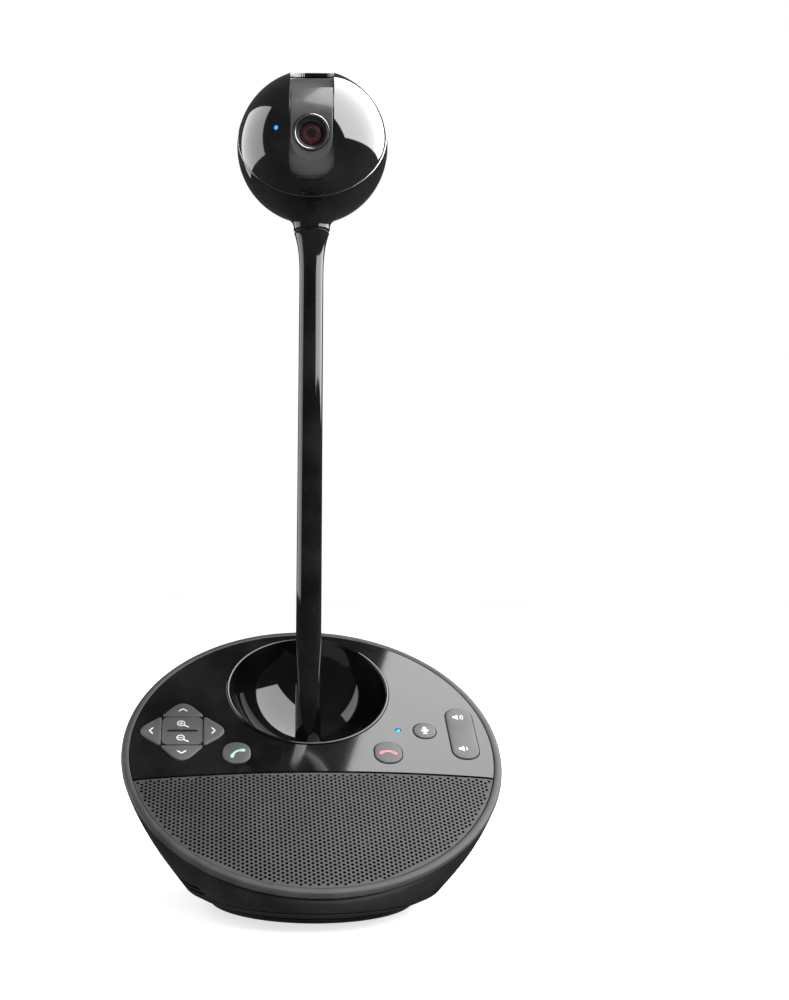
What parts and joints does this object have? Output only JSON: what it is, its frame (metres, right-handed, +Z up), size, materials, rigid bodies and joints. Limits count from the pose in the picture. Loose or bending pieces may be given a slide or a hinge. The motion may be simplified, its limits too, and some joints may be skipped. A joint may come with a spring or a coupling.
{
  "type": "ball-head conference camera on a stem",
  "caption": "Ball-shaped conference camera on a slim stem, standing in the bowl of a round wedge-shaped speakerphone base with control keys",
  "frame": {"origin": "Middle of the base footprint box on the table top; Z = 0 is the underside of the rubber foot.", "axes": "+Z up along the stem; -Y the keyed front of the base, where the face slopes down; +X to the right as the keys are read."},
  "size_m": [0.153, 0.1261, 0.3451],
  "materials": {
    "satin_black": "satin black moulded plastic",
    "rim_grey": "satin dark-grey moulded plastic ring",
    "gloss_black": "polished black plastic",
    "grille_grey": "dark-grey perforated sheet",
    "key_grey": "satin dark-grey keys",
    "foot_rubber": "black non-slip rubber",
    "surround_rubber": "soft black rubber",
    "steel": "plain steel",
    "zinc": "zinc-plated metal, unpolished",
    "copper": "plated contact metal",
    "chrome_trim": "bright plated trim",
    "board": "green circuit board",
    "cone_paper": "pressed black paper cone",
    "nylon": "off-white nylon gear",
    "lamp": "blue indicator light pipe",
    "lens_glass": "coated dark optical glass"
  },
  "bodies": {
    "base": {"ballast_plate": "steel", "bottom_tray": "satin_black", "bowl": "gloss_black", "control_panel": "gloss_black", "foot_ring": "foot_rubber", "headset_jack": "copper", "housing": "satin_black", "key_board": "board", "key_mat": "surround_rubber", "main_board": "board", "microphone": "zinc", "panel_led": "lamp", "port_bay": "satin_black", "power_jack": "satin_black", "rim_ring": "rim_grey", "speaker_cone": "cone_paper", "speaker_frame": "zinc", "speaker_grille": "grille_grey", "speaker_magnet": "steel", "speaker_surround": "surround_rubber", "stem_socket": "satin_black", "tray_screw_1": "zinc", "tray_screw_2": "zinc", "tray_screw_3": "zinc", "tray_screw_4": "zinc", "usb_port": "zinc"},
    "tilt_up": {"tilt_up_key": "key_grey"},
    "pan_left": {"pan_left_key": "key_grey"},
    "tilt_down": {"tilt_down_key": "key_grey"},
    "pan_right": {"pan_right_key": "key_grey"},
    "zoom": {"zoom_rocker": "key_grey"},
    "answer": {"answer_key": "key_grey"},
    "hangup": {"hangup_key": "key_grey"},
    "mute": {"mute_key": "key_grey"},
    "volume": {"volume_rocker": "key_grey"},
    "stem": {"stem_tube": "gloss_black", "stem_plug": "satin_black", "stem_wire": "surround_rubber"},
    "neck": {"neck_plug": "satin_black", "pan_motor": "zinc"},
    "head": {"head_cup": "gloss_black", "head_dome": "gloss_black", "dome_trim": "chrome_trim", "head_led": "lamp", "pan_shaft": "steel", "tilt_bracket_left": "zinc", "tilt_bracket_right": "zinc", "tilt_pin_left": "steel", "tilt_pin_right": "steel", "tilt_motor": "zinc", "head_board": "board"},
    "pinion": {"tilt_pinion": "nylon"},
    "carriage": {"lens_carriage": "satin_black", "lens_bezel": "gloss_black", "lens_barrel": "satin_black", "lens_ring": "chrome_trim", "lens_glass": "lens_glass", "sensor_board": "board", "tilt_gear": "nylon"}
  },
  "joints": [
    {"name": "tilt_up_press", "type": "slide", "parent": "base", "child": "tilt_up", "axis": [0, 0.575, -0.8181], "range_m": [0, 0.0008], "stiffness_N_per_m": 400},
    {"name": "pan_left_press", "type": "slide", "parent": "base", "child": "pan_left", "axis": [0, 0.575, -0.8181], "range_m": [0, 0.0008], "stiffness_N_per_m": 400},
    {"name": "tilt_down_press", "type": "slide", "parent": "base", "child": "tilt_down", "axis": [0, 0.575, -0.8181], "range_m": [0, 0.0008], "stiffness_N_per_m": 400},
    {"name": "pan_right_press", "type": "slide", "parent": "base", "child": "pan_right", "axis": [0, 0.575, -0.8181], "range_m": [0, 0.0008], "stiffness_N_per_m": 400},
    {"name": "zoom_rock", "type": "hinge", "parent": "base", "child": "zoom", "pos_m": [-0.0524, 0.00752, 0.06368], "axis": [1, 0, 0], "range_deg": [-3, 3], "stiffness_Nm_per_rad": 0.03},
    {"name": "answer_press", "type": "slide", "parent": "base", "child": "answer", "axis": [0, 0.575, -0.8181], "range_m": [0, 0.0008], "stiffness_N_per_m": 400},
    {"name": "hangup_press", "type": "slide", "parent": "base", "child": "hangup", "axis": [0, 0.575, -0.8181], "range_m": [0, 0.0008], "stiffness_N_per_m": 400},
    {"name": "mute_press", "type": "slide", "parent": "base", "child": "mute", "axis": [0, 0.575, -0.8181], "range_m": [0, 0.0008], "stiffness_N_per_m": 400},
    {"name": "volume_rock", "type": "hinge", "parent": "base", "child": "volume", "pos_m": [0.0622, 0.00621, 0.06276], "axis": [1, 0, 0], "range_deg": [-2.5, 2.5], "stiffness_Nm_per_rad": 0.03},
    {"name": "stem_lift", "type": "slide", "parent": "base", "child": "stem", "axis": [0, 0, 1], "range_m": [0, 0.06]},
    {"name": "neck_lift", "type": "slide", "parent": "stem", "child": "neck", "axis": [0, 0, 1], "range_m": [0, 0.03]},
    {"name": "head_pan", "type": "hinge", "parent": "neck", "child": "head", "pos_m": [0, 0.02436, 0.27607], "axis": [0, 0, 1], "range_deg": [-85, 95]},
    {"name": "lens_tilt", "type": "hinge", "parent": "head", "child": "carriage", "pos_m": [0, 0.02436, 0.31259], "axis": [0.9962, -0.0872, 0], "range_deg": [-40, 15]},
    {"name": "pinion_spin", "type": "hinge", "parent": "head", "child": "pinion", "pos_m": [0.00098, 0.0356, 0.30848], "axis": [0.9962, -0.0872, 0], "range_deg": [-50, 125]}
  ],
  "couplings": [
    {"joint": "pinion_spin", "follows": "lens_tilt", "ratio": -3}
  ]
}
